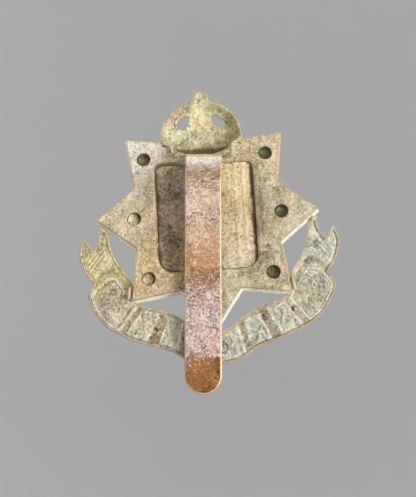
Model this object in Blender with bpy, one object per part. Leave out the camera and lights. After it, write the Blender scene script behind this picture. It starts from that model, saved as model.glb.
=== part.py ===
"""A crowned cap badge: an eight-pointed star with a shield, seven studs, a crown and a ribbon scroll,
and behind them the slider that holds the badge to a cap.

The badge stands as it is worn. X runs across it, Z up it, and Y out of its back: Y = 0 is the flat back
of the star, the relief of the face lies at negative Y, and the slider stands behind at positive Y.
The origin is the star's centre. Outlines are written in millimetres as (x, z) seen from the front.
"""

import math

import bmesh
import bpy
from mathutils import Vector

MM = 0.001

# Pieces this thin are fitted and brazed with a hair's breadth between them.
JOINT_GAP = 0.05

STAR_POINTS = 8
STAR_RADIUS = 18.7
STAR_NOTCH_RADIUS = 13.0
STAR_STRETCH = 1.06
STAR_TIP_BLUNT = 0.35
STAR_THICK = 1.3
EDGE_DRAFT = 0.25

WINDOW_CENTRE_X = 0.2
WINDOW_HALF_WIDTH = 8.05
WINDOW_TOP = 8.9
WINDOW_BOTTOM = -9.05
WINDOW_TOP_RADIUS = 0.8
WINDOW_BOTTOM_RADIUS = 2.2
SMALLEST_RADIUS = 0.3

SHIELD_FLOOR_Y = -0.75
SHIELD_LAP = 0.6
SHIELD_THICK = 1.1
SHIELD_CENTRE_INSET = 1.3
SHIELD_CENTRE_RISE = 0.4

STUD_SIDE_RADIUS = 12.1
STUD_DIAGONAL_RADIUS = 14.3
STUD_ANGLES = (135, 180, 225, 270, 315, 0, 45)
STUD_SHANK_RADIUS = 1.1
STUD_FLOOR_Y = -0.5
STUD_HEAD_RADIUS = 1.5
STUD_HEAD_HEIGHT = 1.0

CROWN_CENTRE_X = 0.3
CROWN_HALF_WIDTH = 6.85
CROWN_WIDEST_Z = 13.4
CROWN_TOP_Z = 20.05
CROWN_WAIST_HALF_WIDTH = 5.0
CROWN_WAIST_Z = 12.0
CROWN_BOTTOM_TAPER = 0.2
CROWN_DOME_END_DEG = -12
CROWN_BOTTOM_Z = 9.7
CROWN_BAND_TOP_Z = 10.5
CROWN_FRONT_Y = -2.9
CROWN_WALL = 0.9
# Sections of the crown and of its hollow: how far inside the outline, and at what share of the depth.
CROWN_SECTIONS = ((0, 0), (0, 0.5), (0.4, 0.75), (1.1, 0.92), (2.2, 1))
HOLLOW_SECTIONS = ((0.45, -0.3), (0.5, 0.1), (1.0, 0.7), (2.0, 1))
OPENING_CENTRE = (2.85, 16.75)
OPENING_LENGTH = 3.0
OPENING_WIDTH = 1.6
OPENING_TAPER = 0.5
OPENING_LEAN_DEG = 45
FINIAL_HALF_WIDTH = 1.2
FINIAL_TOP_Z = 21.9
FINIAL_ROOT_Z = 19.3
FINIAL_REAR_Y = -0.3
FINIAL_FRONT_Y = -2.0

SCROLL_REAR_Y = -0.65
SCROLL_FRONT_Y = -2.0
SCROLL_DRAFT = 0.15

SLIDER_WIDTH = 5.95
SLIDER_THICK = 0.9
SLIDER_LEAN_DEG = 3.15
SLIDER_TOP = (0.14, 9.85)
SLIDER_LENGTH = 39.1
SLIDER_FOOT_LENGTH = 1.7
SLIDER_FOOT_Y = 0.25
SLIDER_CRANK_END = 4.2
SLIDER_STANDOFF = 2.15
SLIDER_TIP_Y = -0.55
SLIDER_EDGE_RADIUS = 0.22
SLIDER_TIP_STEPS = 8

# The slider's bead, as (distance down the slider, height above its low face): it lies under the foot
# and stands up against the slider's square end.
SLIDER_BEAD_REACH = 0.9
SLIDER_BEAD_STAND = 0.45
SLIDER_BEAD_CREST = 0.15
SLIDER_BEAD_TOE = 0.5
SLIDER_BEAD_OVERHANG = 0.1

BRAZE_WIDTH = 0.5
BRAZE_HEIGHT = 0.3
BRAZE_CREST_SHARE = 0.5
# Where each bead runs: beside the crown's waist, and between two distances from a star point's tip.
CROWN_SEAM = ((6.5, 12.8), (5.1, 12.0), (4.95, 10.9))
POINT_SEAM = (0.7, 2.7)
TAIL_SEAM = (1.5, 2.4)
FOOT_SEAM_HALF_LENGTH = 0.9
FOOT_SEAM_BELOW_TIP = 0.1

ROUND_STEPS = 24
SHARP_EDGE_DEG = 35
BEVEL_ANGLE_DEG = 50
# A corner's mitre reaches no further than this share of a right-angled one allows.
SHARPEST_MITRE = 0.35

BRASS = ((0.46, 0.36, 0.17), 0.42, 0.9)
WHITE_METAL = ((0.45, 0.39, 0.31), 0.48, 0.85)
COPPER = ((0.40, 0.20, 0.11), 0.4, 0.9)
SOLDER = ((0.50, 0.36, 0.20), 0.55, 0.8)


def clear_scene():
    for thing in list(bpy.data.objects):
        bpy.data.objects.remove(thing, do_unlink=True)


def metal(name, look):
    colour, roughness, metallic = look
    material = bpy.data.materials.new(name)
    material.use_nodes = True
    shader = material.node_tree.nodes["Principled BSDF"]
    shader.inputs["Base Color"].default_value = (*colour, 1.0)
    shader.inputs["Roughness"].default_value = roughness
    shader.inputs["Metallic"].default_value = metallic
    return material


# Outlines


def polar(radius, degrees):
    angle = math.radians(degrees)
    return (radius * math.cos(angle), radius * math.sin(angle))


def arc(centre, radius_x, radius_z, start, end, steps):
    """Points on an ellipse's arc, both ends included, angles in degrees."""
    points = []
    for step in range(steps + 1):
        angle = math.radians(start + (end - start) * step / steps)
        points.append((centre[0] + radius_x * math.cos(angle), centre[1] + radius_z * math.sin(angle)))
    return points


def curve_through(points, steps):
    """A Catmull-Rom curve through every point, with this many steps between each two."""
    ends = [points[0], *points, points[-1]]
    found = []
    for i in range(1, len(ends) - 2):
        a, b, c, d = (Vector(p) for p in ends[i - 1 : i + 3])
        for step in range(steps):
            t = step / steps
            square, cube = 2 * a - 5 * b + 4 * c - d, 3 * b - a - 3 * c + d
            at = (2 * b + (c - a) * t + square * t**2 + cube * t**3) / 2
            found.append((at.x, at.y))
    return [*found, points[-1]]


def mirrored(right_half):
    """A closed outline from its half at positive x, which starts and ends on the centre line."""
    left_half = [(-x, z) for x, z in reversed(right_half) if abs(x) > 1e-6]
    return right_half + left_half


def moved_across(outline, by):
    return [(x + by, z) for x, z in outline]


def grown(outline, by):
    """The outline moved outwards by a distance, or inwards when it is negative."""
    area = sum(a[0] * b[1] - b[0] * a[1] for a, b in zip(outline, outline[1:] + outline[:1]))
    side = by if area > 0 else -by
    moved = []
    for i, here in enumerate(outline):
        before, after = Vector(outline[i - 1]), Vector(outline[(i + 1) % len(outline)])
        here = Vector(here)
        entering, leaving = (here - before).normalized(), (after - here).normalized()
        normals = Vector((entering.y, -entering.x)), Vector((leaving.y, -leaving.x))
        bisector = (normals[0] + normals[1]).normalized()
        reach = side / max(bisector.dot(normals[0]), SHARPEST_MITRE)
        moved.append(tuple(here + bisector * reach))
    return moved


def strip_along(path, width):
    """A narrow closed outline with square ends along an open path."""
    sides = [], []
    for i, here in enumerate(path):
        before, after = path[max(i - 1, 0)], path[min(i + 1, len(path) - 1)]
        along = (Vector(after) - Vector(before)).normalized()
        across = Vector((-along.y, along.x)) * width / 2
        sides[0].append(tuple(Vector(here) + across))
        sides[1].append(tuple(Vector(here) - across))
    return sides[0] + sides[1][::-1]


def star_place(radius, degrees):
    """A tip or a notch of the star, which is a little taller than it is wide."""
    x, z = polar(radius, degrees)
    return Vector((x, z * STAR_STRETCH))


def star_outline():
    """Every point has a short blunt end across its tip."""
    outline = []
    half_step = 180 / STAR_POINTS
    for point in range(STAR_POINTS):
        middle = point * 2 * half_step
        tip = star_place(STAR_RADIUS, middle)
        for turn in (-half_step, half_step):
            notch = star_place(STAR_NOTCH_RADIUS, middle + turn)
            outline.append(tuple(tip + (notch - tip).normalized() * STAR_TIP_BLUNT))
        outline.append(tuple(star_place(STAR_NOTCH_RADIUS, middle + half_step)))
    return outline


def window_outline(outset=0):
    """A square-topped shield with rounded lower corners, moved outwards by a distance."""
    half_width = WINDOW_HALF_WIDTH + outset
    top = WINDOW_TOP + outset
    bottom = WINDOW_BOTTOM - outset
    top_radius = max(WINDOW_TOP_RADIUS + outset, SMALLEST_RADIUS)
    bottom_radius = max(WINDOW_BOTTOM_RADIUS + outset, SMALLEST_RADIUS)
    top_corner = (half_width - top_radius, top - top_radius)
    bottom_corner = (half_width - bottom_radius, bottom + bottom_radius)
    right_half = arc(top_corner, top_radius, top_radius, 90, 0, 4)
    right_half += arc(bottom_corner, bottom_radius, bottom_radius, 0, -90, 6)
    return moved_across(mirrored(right_half), WINDOW_CENTRE_X)


def stud_centre(degrees):
    return polar(STUD_SIDE_RADIUS if degrees % 90 == 0 else STUD_DIAGONAL_RADIUS, degrees)


def crown_outline(inset=0, bottom=CROWN_BOTTOM_Z):
    """The dome of the arches and the narrower band below it, without the finial."""
    half_width = CROWN_HALF_WIDTH - inset
    waist = CROWN_WAIST_HALF_WIDTH - inset
    rise = CROWN_TOP_Z - inset - CROWN_WIDEST_Z
    dome = arc((0, CROWN_WIDEST_Z), half_width, rise, 90, CROWN_DOME_END_DEG, 14)
    band = [(waist, CROWN_WAIST_Z), (waist - CROWN_BOTTOM_TAPER, bottom), (0, bottom)]
    return moved_across(mirrored(dome + band), CROWN_CENTRE_X)


def finial_outline():
    radius = FINIAL_HALF_WIDTH
    top = arc((0, FINIAL_TOP_Z - radius), radius, radius, 90, 0, 5)
    return mirrored([*top, (radius, FINIAL_ROOT_Z), (0, FINIAL_ROOT_Z)])


def crown_opening(side):
    """One of the two pear-shaped openings between the arches, its narrow end towards the finial."""
    lean = side * math.radians(OPENING_LEAN_DEG)
    outline = []
    for x, z in arc((0, 0), OPENING_WIDTH / 2, OPENING_LENGTH / 2, 0, 335, 13):
        x *= 1 - OPENING_TAPER * z / OPENING_LENGTH
        across = x * math.cos(lean) - z * math.sin(lean)
        up = x * math.sin(lean) + z * math.cos(lean)
        outline.append((side * OPENING_CENTRE[0] + across, OPENING_CENTRE[1] + up))
    return moved_across(outline, CROWN_CENTRE_X)


def scroll_outline():
    """The ribbon's under edge, its folded end, the two horns of its swallow tail and its upper edge."""
    under_centre = [(0, -24.6), (2.3, -24.25), (4.6, -23.5), (6.4, -22.3), (8.2, -21.5)]
    under_side = [(12.7, -20.05), (16.9, -17.75), (19.2, -14.9), (20.2, -12.3)]
    under_edge = curve_through(under_centre + under_side, 3)
    fold = [(19.0, -10.45)]
    outer_horn = curve_through([(20.5, -8.3), (21.35, -5.4), (20.5, -2.5)], 4)
    tail_notch = [(19.05, -4.95)]
    inner_horn = curve_through([(18.25, -3.5), (17.5, -1.2), (16.9, -1.1)], 3)
    inner_edge = curve_through([(16.5, -2.8), (15.9, -5.3), (14.6, -7.9), (13.0, -10.1)], 3)
    upper_side = [(12.4, -13.6), (11.2, -14.5), (8.0, -15.4)]
    upper_centre = [(5.3, -16.7), (3.3, -18.1), (1.4, -19.2), (0, -19.4)]
    upper_edge = curve_through(upper_side + upper_centre, 3)
    return mirrored(under_edge + fold + outer_horn + tail_notch + inner_horn + inner_edge + upper_edge)


# Solids


def add_object(name, bm, material=None):
    bmesh.ops.recalc_face_normals(bm, faces=bm.faces)
    if bm.calc_volume(signed=True) < 0:
        bmesh.ops.reverse_faces(bm, faces=bm.faces)
    bmesh.ops.triangulate(bm, faces=bm.faces)
    mesh = bpy.data.meshes.new(name)
    bm.to_mesh(mesh)
    bm.free()
    made = bpy.data.objects.new(name, mesh)
    bpy.context.collection.objects.link(made)
    if material:
        mesh.materials.append(material)
    return made


def lofted(name, sections, material=None, holes=()):
    """A closed solid through (outline, y) sections with equally many points, pierced by straight holes."""
    ends = (sections[0][1], sections[-1][1])
    walls = [sections, *([(hole, y) for y in ends] for hole in holes)]
    bm = bmesh.new()
    caps = [], []
    for wall in walls:
        rings = [[bm.verts.new((x * MM, y * MM, z * MM)) for x, z in outline] for outline, y in wall]
        for near, far in zip(rings, rings[1:]):
            for i in range(len(near)):
                bm.faces.new((near[i - 1], near[i], far[i], far[i - 1]))
        for ring, cap in ((rings[0], caps[0]), (rings[-1], caps[1])):
            cap.extend(bm.edges.get((ring[i - 1], ring[i])) for i in range(len(ring)))
    for cap in caps:
        bmesh.ops.triangle_fill(bm, use_beauty=True, edges=cap)
    return add_object(name, bm, material)


def plate(name, outline, rear_y, front_y, material=None):
    return lofted(name, [(outline, rear_y), (outline, front_y)], material)


def turned(name, profile, centre, material):
    """A body turned about an axis along Y, from (radius, y) points that start and end on the axis."""
    bm = bmesh.new()
    rings = []
    for radius, y in profile:
        turns = [0] if radius == 0 else range(ROUND_STEPS)
        ring = []
        for turn in turns:
            x, z = polar(radius, 360 * turn / ROUND_STEPS)
            ring.append(bm.verts.new(((centre[0] + x) * MM, y * MM, (centre[1] + z) * MM)))
        rings.append(ring)
    for low, high in zip(rings, rings[1:]):
        for i in range(ROUND_STEPS):
            near = [low[i % len(low)], low[(i + 1) % len(low)]]
            far = [high[(i + 1) % len(high)], high[i % len(high)]]
            bm.faces.new(dict.fromkeys(near + far))
    made = add_object(name, bm, material)
    made.data.shade_smooth()
    made.data.set_sharp_from_angle(angle=math.radians(SHARP_EDGE_DEG))
    return made


def cut(target, cutter):
    cutter.hide_render = True
    cutter.display_type = "WIRE"
    boolean = target.modifiers.new(cutter.name, "BOOLEAN")
    boolean.operation = "DIFFERENCE"
    boolean.object = cutter


def join(target, addition):
    addition.hide_render = True
    addition.display_type = "WIRE"
    boolean = target.modifiers.new(addition.name, "BOOLEAN")
    boolean.operation = "UNION"
    boolean.object = addition


# Pieces


def make_star(material):
    """A plate with drafted edges, a window for the shield, stud holes and seats for the crown and scroll."""
    outline = star_outline()
    holes = [window_outline()]
    for degrees in STUD_ANGLES:
        radius = STUD_SHANK_RADIUS + JOINT_GAP
        holes.append(arc(stud_centre(degrees), radius, radius, 0, 345, 23))
    sections = [(grown(outline, -EDGE_DRAFT), 0), (outline, -STAR_THICK)]
    star = lofted("star_plate", sections, material, holes)
    through_y = -STAR_THICK - 1
    crown_seat = crown_outline(-JOINT_GAP, CROWN_BOTTOM_Z - JOINT_GAP)
    cut(star, plate("crown_seat_cutter", crown_seat, 1, through_y))
    scroll_seat = grown(scroll_outline(), JOINT_GAP)
    cut(star, plate("scroll_seat_cutter", scroll_seat, SCROLL_REAR_Y + JOINT_GAP, through_y))
    return star


def make_shield(material):
    """A panel whose plug closes the star's window from the front, and whose flange laps the star's face."""
    lap_y = -STAR_THICK - JOINT_GAP
    front_y = lap_y - SHIELD_THICK
    flange = [(window_outline(SHIELD_LAP), lap_y), (window_outline(SHIELD_LAP - EDGE_DRAFT), front_y)]
    centre = [(window_outline(-SHIELD_CENTRE_INSET), front_y + SHIELD_THICK / 2)]
    centre.append((window_outline(-SHIELD_CENTRE_INSET - EDGE_DRAFT), front_y - SHIELD_CENTRE_RISE))
    shield = lofted("shield", flange, material)
    plug_front_y = lap_y - SHIELD_THICK / 2
    join(shield, plate("shield_plug", window_outline(-JOINT_GAP), SHIELD_FLOOR_Y, plug_front_y))
    join(shield, lofted("shield_centre", centre))
    return shield


def make_stud(number, degrees, material):
    """A domed stud pushed into the star from the front. Its shank stops short of the star's back."""
    under_head = -STAR_THICK - JOINT_GAP
    dome = arc((0, 0), STUD_HEAD_RADIUS, STUD_HEAD_HEIGHT, 0, 90, 6)
    profile = [(0, STUD_FLOOR_Y), (STUD_SHANK_RADIUS, STUD_FLOOR_Y), (STUD_SHANK_RADIUS, under_head)]
    profile += [(max(x, 0), under_head - z) for x, z in dome[:-1]]
    profile.append((0, under_head - STUD_HEAD_HEIGHT))
    return turned(f"star_stud_{number}", profile, stud_centre(degrees), material)


def make_crown(material):
    """A pierced half dome with a finial and a band, hollow at the back inside its rim."""
    depth = -CROWN_FRONT_Y
    body = [(crown_outline(inset), -share * depth) for inset, share in CROWN_SECTIONS]
    hollow = []
    for inset, share in HOLLOW_SECTIONS:
        hollow.append((crown_outline(inset, CROWN_BAND_TOP_Z), -share * (depth - CROWN_WALL)))
    crown = lofted("crown", body, material)
    join(crown, plate("finial", finial_outline(), FINIAL_REAR_Y, FINIAL_FRONT_Y))
    cut(crown, lofted("crown_hollow_cutter", hollow))
    for word, side in (("left", -1), ("right", 1)):
        cut(crown, plate(f"crown_opening_cutter_{word}", crown_opening(side), 1, CROWN_FRONT_Y - 1))
    return crown


def make_scroll(material):
    outline = scroll_outline()
    sections = [(grown(outline, -SCROLL_DRAFT), SCROLL_REAR_Y), (outline, SCROLL_FRONT_Y)]
    return lofted("scroll", sections, material)


def slider_frame():
    """The slider's own directions: down its length and across it, in the badge's (x, z)."""
    lean = math.radians(SLIDER_LEAN_DEG)
    return Vector((math.sin(lean), -math.cos(lean))), Vector((math.cos(lean), math.sin(lean)))


def slider_point(down, across, y):
    """Where a place on the slider lies in the badge, in metres."""
    along, sideways = slider_frame()
    x, z = Vector(SLIDER_TOP) + along * down + sideways * across
    return Vector((x * MM, y * MM, z * MM))


def make_slider(material):
    """A strip with a brazed foot at its top, a crank that lifts it off the star, and a round tip."""
    half = SLIDER_WIDTH / 2
    front = [(0, SLIDER_FOOT_Y), (SLIDER_FOOT_LENGTH, SLIDER_FOOT_Y)]
    front.append((SLIDER_CRANK_END, SLIDER_STANDOFF))
    straight_end = SLIDER_LENGTH - half
    slope = (SLIDER_TIP_Y - SLIDER_STANDOFF) / (SLIDER_LENGTH - SLIDER_CRANK_END)
    stations = [(down, half, y) for down, y in front]
    stations.append((straight_end, half, SLIDER_STANDOFF + slope * (straight_end - SLIDER_CRANK_END)))
    for step in range(1, SLIDER_TIP_STEPS + 1):
        angle = math.pi / 2 * step / (SLIDER_TIP_STEPS + 0.5)
        down = straight_end + half * math.sin(angle)
        y = SLIDER_STANDOFF + slope * (down - SLIDER_CRANK_END)
        stations.append((down, half * math.cos(angle), y))
    bm = bmesh.new()
    rings = []
    for down, across, y in stations:
        corners = ((-across, y), (across, y), (across, y + SLIDER_THICK), (-across, y + SLIDER_THICK))
        rings.append([bm.verts.new(slider_point(down, side, height)) for side, height in corners])
    for near, far in zip(rings, rings[1:]):
        for i in range(4):
            bm.faces.new((near[i - 1], near[i], far[i], far[i - 1]))
    bm.faces.new(rings[0])
    bm.faces.new(rings[-1])
    slider = add_object("slider", bm, material)
    bevel = slider.modifiers.new("rounded_edges", "BEVEL")
    bevel.width = SLIDER_EDGE_RADIUS * MM
    bevel.segments = 2
    bevel.limit_method = "ANGLE"
    bevel.angle_limit = math.radians(BEVEL_ANGLE_DEG)
    return slider


def make_slider_braze(material):
    """The bead of brazing under the slider's foot and up against its square end."""
    low, high = JOINT_GAP, SLIDER_FOOT_Y - JOINT_GAP
    end = -JOINT_GAP
    top = high + SLIDER_BEAD_STAND
    profile = [(SLIDER_BEAD_REACH, low), (SLIDER_BEAD_REACH, high), (end, high), (end, top)]
    profile += [(end - SLIDER_BEAD_CREST, top - JOINT_GAP), (end - SLIDER_BEAD_TOE, low)]
    half = SLIDER_WIDTH / 2 + SLIDER_BEAD_OVERHANG
    bm = bmesh.new()
    sides = []
    for across in (-half, half):
        sides.append([bm.verts.new(slider_point(down, across, y)) for down, y in profile])
    for i in range(len(profile)):
        bm.faces.new((sides[0][i - 1], sides[0][i], sides[1][i], sides[1][i - 1]))
    bm.faces.new(sides[0])
    bm.faces.new(sides[1])
    return add_object("slider_braze", bm, material)


def make_braze(name, path, ground_y, material):
    """A low bead of brazing that lies on the ground given, along a path."""
    foot = strip_along(path, BRAZE_WIDTH)
    crest = strip_along(path, BRAZE_WIDTH * BRAZE_CREST_SHARE)
    low = ground_y + JOINT_GAP
    return lofted(name, [(crest, low + BRAZE_HEIGHT), (foot, low)], material)


def beside_star_edge(point_degrees, side, start, end):
    """A path just off one edge of a star point, between two distances from its tip."""
    tip = star_place(STAR_RADIUS, point_degrees)
    notch = star_place(STAR_NOTCH_RADIUS, point_degrees + side * 180 / STAR_POINTS)
    along = (notch - tip).normalized()
    away = notch - tip * notch.dot(tip) / tip.length_squared
    away = (away - along * away.dot(along)).normalized()
    offset = away * (BRAZE_WIDTH / 2 + 2 * JOINT_GAP)
    return [tuple(tip + along * distance + offset) for distance in (start, end)]


def make_brazes(material):
    make_slider_braze(material)
    sides = (("left", -1), ("right", 1))
    for word, side in sides:
        crown_seam = [(CROWN_CENTRE_X + side * x, z) for x, z in CROWN_SEAM]
        make_braze(f"crown_braze_{word}", crown_seam, 0, material)
        point_seam = beside_star_edge(270 + side * 45, side, *POINT_SEAM)
        make_braze(f"scroll_braze_{word}_point", point_seam, SCROLL_REAR_Y, material)
        tail_seam = beside_star_edge(0 if side > 0 else 180, -side, *TAIL_SEAM)
        make_braze(f"scroll_braze_{word}_tail", tail_seam, SCROLL_REAR_Y, material)
    foot_z = star_place(STAR_RADIUS, 270).y - FOOT_SEAM_BELOW_TIP
    foot_seam = [(-FOOT_SEAM_HALF_LENGTH, foot_z), (FOOT_SEAM_HALF_LENGTH, foot_z)]
    make_braze("scroll_braze_foot", foot_seam, SCROLL_REAR_Y, material)


def make_badge():
    brass = metal("brass", BRASS)
    white_metal = metal("white_metal", WHITE_METAL)
    copper = metal("copper", COPPER)
    solder = metal("braze", SOLDER)
    make_star(white_metal)
    make_shield(white_metal)
    for number, degrees in enumerate(STUD_ANGLES, start=1):
        make_stud(number, degrees, brass)
    make_crown(brass)
    make_scroll(brass)
    make_slider(copper)
    make_brazes(solder)


clear_scene()
make_badge()
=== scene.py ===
"""The looks of the cap badge: worn, patinated metal seen from behind, in a pale studio.

Each piece is rebuilt as a relief: its outline is read from the CAD node that it stands for, filled with
a fine mesh, and given a height at every point of its rear and its face. Lengths are in millimetres, as
(x, z) seen from the front, until a mesh is made; y = 0 is the star's flat back and the face lies at
negative y. The make_ functions hand relief three of their own: rear and face give the height y at each
place of the outline, and paint gives the looks there.
"""

import math
from dataclasses import dataclass, field

import bmesh
import bpy
import numpy as np
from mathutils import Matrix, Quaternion, Vector, geometry, noise
from mathutils.bvhtree import BVHTree


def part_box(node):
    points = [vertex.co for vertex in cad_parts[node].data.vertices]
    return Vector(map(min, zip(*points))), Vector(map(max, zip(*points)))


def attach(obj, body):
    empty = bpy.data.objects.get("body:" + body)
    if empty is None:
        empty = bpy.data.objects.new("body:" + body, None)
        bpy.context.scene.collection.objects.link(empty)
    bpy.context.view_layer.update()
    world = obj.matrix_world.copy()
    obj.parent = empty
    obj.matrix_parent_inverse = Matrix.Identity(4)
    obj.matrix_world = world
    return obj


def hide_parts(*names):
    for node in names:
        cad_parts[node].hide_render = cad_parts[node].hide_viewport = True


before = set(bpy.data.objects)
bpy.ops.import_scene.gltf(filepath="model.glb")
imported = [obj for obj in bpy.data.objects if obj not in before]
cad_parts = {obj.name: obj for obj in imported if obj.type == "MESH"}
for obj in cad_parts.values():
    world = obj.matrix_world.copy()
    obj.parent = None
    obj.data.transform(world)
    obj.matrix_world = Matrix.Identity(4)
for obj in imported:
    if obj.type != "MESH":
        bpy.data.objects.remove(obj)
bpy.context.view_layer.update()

MM = 0.001

# Camera and studio
IMAGE_SIZE = (416, 497)
CAMERA_DISTANCE = 0.165
CAMERA_TILT_DEG = 13.0
CAMERA_ROLL_DEG = 3.3
TARGET = Vector((0.000237, 0.0, -0.005676))
VIEW_HEIGHT = IMAGE_SIZE[1] * 0.0001625
SENSOR = 36.0
FLOOR_Z = -0.16
BOWL_RADIUS = 0.75
BOWL_HEIGHT = 0.62
BOWL_CURVE = 0.2
CURVE_STEPS = 12
LIGHT_SPREAD_DEG = 70
SKY_STRENGTH = 0.55
PAPER_GREY = 0.86

# The depths at which CAD nodes are cut across to read their outlines
STAR_CUT_Y = -0.5
SHIELD_CUT_Y = -1.6
SHANK_CUT_Y = -0.9
CROWN_BACK_Y = -0.2
CROWN_CUT_Y = -1.0
CROWN_FACE_Y = -2.3
SCROLL_CUT_Y = -1.9

# Outlines and meshes
OUTLINE_STEP = 0.2
OUTLINE_SMOOTHING = 4
EDGE_WANDER = 0.03
ROW_HEIGHT = 0.866
SAME_PLACE = 1e-7
POINTS_AT_ONCE = 2000
THINNEST = 0.15
WALL_STEPS = 3
SHARP_EDGE_DEG = 50


# Numbers and colours


def linear(code):
    """A colour from its six-digit sRGB code, as linear red, green and blue by the standard's formula."""
    values = np.array([int(code[i : i + 2], 16) / 255 for i in (0, 2, 4)])
    return np.where(values <= 0.04045, values / 12.92, ((values + 0.055) / 1.055) ** 2.4)


def smooth(low, high, value):
    """0 below low, 1 above high and an S-curve between."""
    t = np.clip((value - low) / (high - low), 0, 1)
    return t * t * (3 - 2 * t)


def bump(value, centre, width):
    """A round hump of height 1 about a centre."""
    return np.exp(-(((value - centre) / width) ** 2))


def rough(x, z, size, seed, octaves=3):
    """Seeded noise between about -1 and 1 whose lumps have this size."""
    y = seed * 7.31
    points = np.column_stack([x / size, np.full(len(x), y), z / size])
    return np.array([noise.fractal(Vector(p), 1.0, 2.0, octaves) for p in points])


def blended(tone, other, share):
    """One colour with another mixed in by a share at each place."""
    return tone * (1 - share[:, None]) + other * share[:, None]


# Outlines


def joined(node):
    """A CAD node's triangles, with their corners joined up."""
    bm = bmesh.new()
    bm.from_mesh(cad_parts[node].data)
    bmesh.ops.remove_doubles(bm, verts=bm.verts, dist=SAME_PLACE)
    return bm


def section(node, y):
    """The closed outlines of a CAD node cut across at a depth, the longest first."""
    bm = joined(node)
    everything = bm.verts[:] + bm.edges[:] + bm.faces[:]
    plane = {"plane_co": (0, y * MM, 0), "plane_no": (0, 1, 0)}
    cut = bmesh.ops.bisect_plane(bm, geom=everything, dist=1e-9, **plane)
    edges = [thing for thing in cut["geom_cut"] if isinstance(thing, bmesh.types.BMEdge)]
    # The loops are walked in the list's order, since a set's own order can differ from run to run.
    unused = set(edges)
    loops = []
    for first in edges:
        if first not in unused:
            continue
        unused.remove(first)
        start, here = first.verts
        loop = [start, here]
        while here != start:
            edge = next(e for e in here.link_edges if e in unused)
            unused.remove(edge)
            here = edge.other_vert(here)
            loop.append(here)
        loops.append(np.array([(v.co.x, v.co.z) for v in loop[:-1]]) / MM)
    bm.free()
    return sorted(loops, key=length, reverse=True)


def length(loop):
    """The length of a closed outline."""
    return np.linalg.norm(loop - np.roll(loop, 1, axis=0), axis=1).sum()


def area(loop):
    """The area inside an outline, negative where it runs clockwise."""
    x, z = loop.T
    return np.sum(x * np.roll(z, -1) - np.roll(x, -1) * z) / 2


def outward(loop):
    """The unit normal at each point of a loop, pointing out of what it encloses."""
    along = np.roll(loop, -1, axis=0) - np.roll(loop, 1, axis=0)
    along /= np.linalg.norm(along, axis=1)[:, None]
    normal = np.column_stack([along[:, 1], -along[:, 0]])
    return normal if area(loop) > 0 else -normal


def fine(loop, step=OUTLINE_STEP, smoothing=OUTLINE_SMOOTHING, grow=0.0, wander=EDGE_WANDER, seed=0):
    """The outline with evenly spaced points, softened corners and the slight wander of a worn edge."""
    closed = np.vstack([loop, loop[:1]])
    reach = np.concatenate([[0], np.cumsum(np.linalg.norm(np.diff(closed, axis=0), axis=1))])
    count = int(round(reach[-1] / step))
    at = np.arange(count) * reach[-1] / count
    found = np.column_stack([np.interp(at, reach, closed[:, axis]) for axis in (0, 1)])
    for _ in range(smoothing):
        found = (np.roll(found, 1, axis=0) + 2 * found + np.roll(found, -1, axis=0)) / 4
    shift = grow + wander * rough(found[:, 0], found[:, 1], 1.3, seed)
    return found + outward(found) * shift[:, None]


def circle(centre, radius, step):
    """A round outline with its points about a step apart."""
    turns = np.linspace(0, 2 * math.pi, max(12, int(2 * math.pi * radius / step)), endpoint=False)
    return np.column_stack([centre[0] + radius * np.cos(turns), centre[1] + radius * np.sin(turns)])


def nearest(points, loop):
    """How far each point lies from a closed outline, and which of its edges is nearest."""
    start, end = loop, np.roll(loop, -1, axis=0)
    along = end - start
    squared = (along**2).sum(1)
    reach = np.empty(len(points))
    edge = np.empty(len(points), int)
    for first in range(0, len(points), POINTS_AT_ONCE):
        some = slice(first, first + POINTS_AT_ONCE)
        from_start = points[some, None, :] - start
        share = np.clip((from_start * along).sum(2) / squared, 0, 1)
        gaps = np.linalg.norm(from_start - share[:, :, None] * along, axis=2)
        reach[some] = gaps.min(1)
        edge[some] = gaps.argmin(1)
    return reach, edge


def distance(points, loop):
    """How far each point lies from a closed outline."""
    return nearest(points, loop)[0]


def within(points, loop):
    """Which points lie inside a closed outline."""
    x, z = points[:, 0, None], points[:, 1, None]
    x0, z0 = loop.T
    x1, z1 = np.roll(loop, -1, axis=0).T
    level = np.where(z1 == z0, 1e-12, z1 - z0)
    crosses = ((z0 > z) != (z1 > z)) & (x < (x1 - x0) * (z - z0) / level + x0)
    return crosses.sum(1) % 2 == 1


def in_sheet(points, loops):
    """Which points lie inside the first outline and outside all the others."""
    inside = within(points, loops[0])
    for hole in loops[1:]:
        inside &= ~within(points, hole)
    return inside


def depth_inside(points, loop):
    """The distance from an outline, positive inside it and negative outside."""
    return np.where(within(points, loop), 1, -1) * distance(points, loop)


# Reliefs


@dataclass
class Spot:
    """The places in a piece's outline, with how far each lies from every loop of it.

    rims holds those distances, the outer loop's first, and rim the smallest of them. out is the way that
    the nearest stretch of the outer loop faces.
    """

    points: np.ndarray
    loops: list
    x: np.ndarray = field(init=False)
    z: np.ndarray = field(init=False)
    rims: list = field(init=False)
    rim: np.ndarray = field(init=False)
    out: np.ndarray = field(init=False)

    def __post_init__(self):
        self.x, self.z = self.points.T
        outer, edge = nearest(self.points, self.loops[0])
        self.rims = [outer, *(distance(self.points, loop) for loop in self.loops[1:])]
        self.rim = np.min(self.rims, axis=0)
        self.out = outward(self.loops[0])[edge]

    def rough(self, size, seed):
        """Seeded noise at each place whose lumps have this size."""
        return rough(self.x, self.z, size, seed)

    def away(self, x, z):
        """How far each place lies from a point."""
        return np.hypot(self.x - x, self.z - z)


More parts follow.
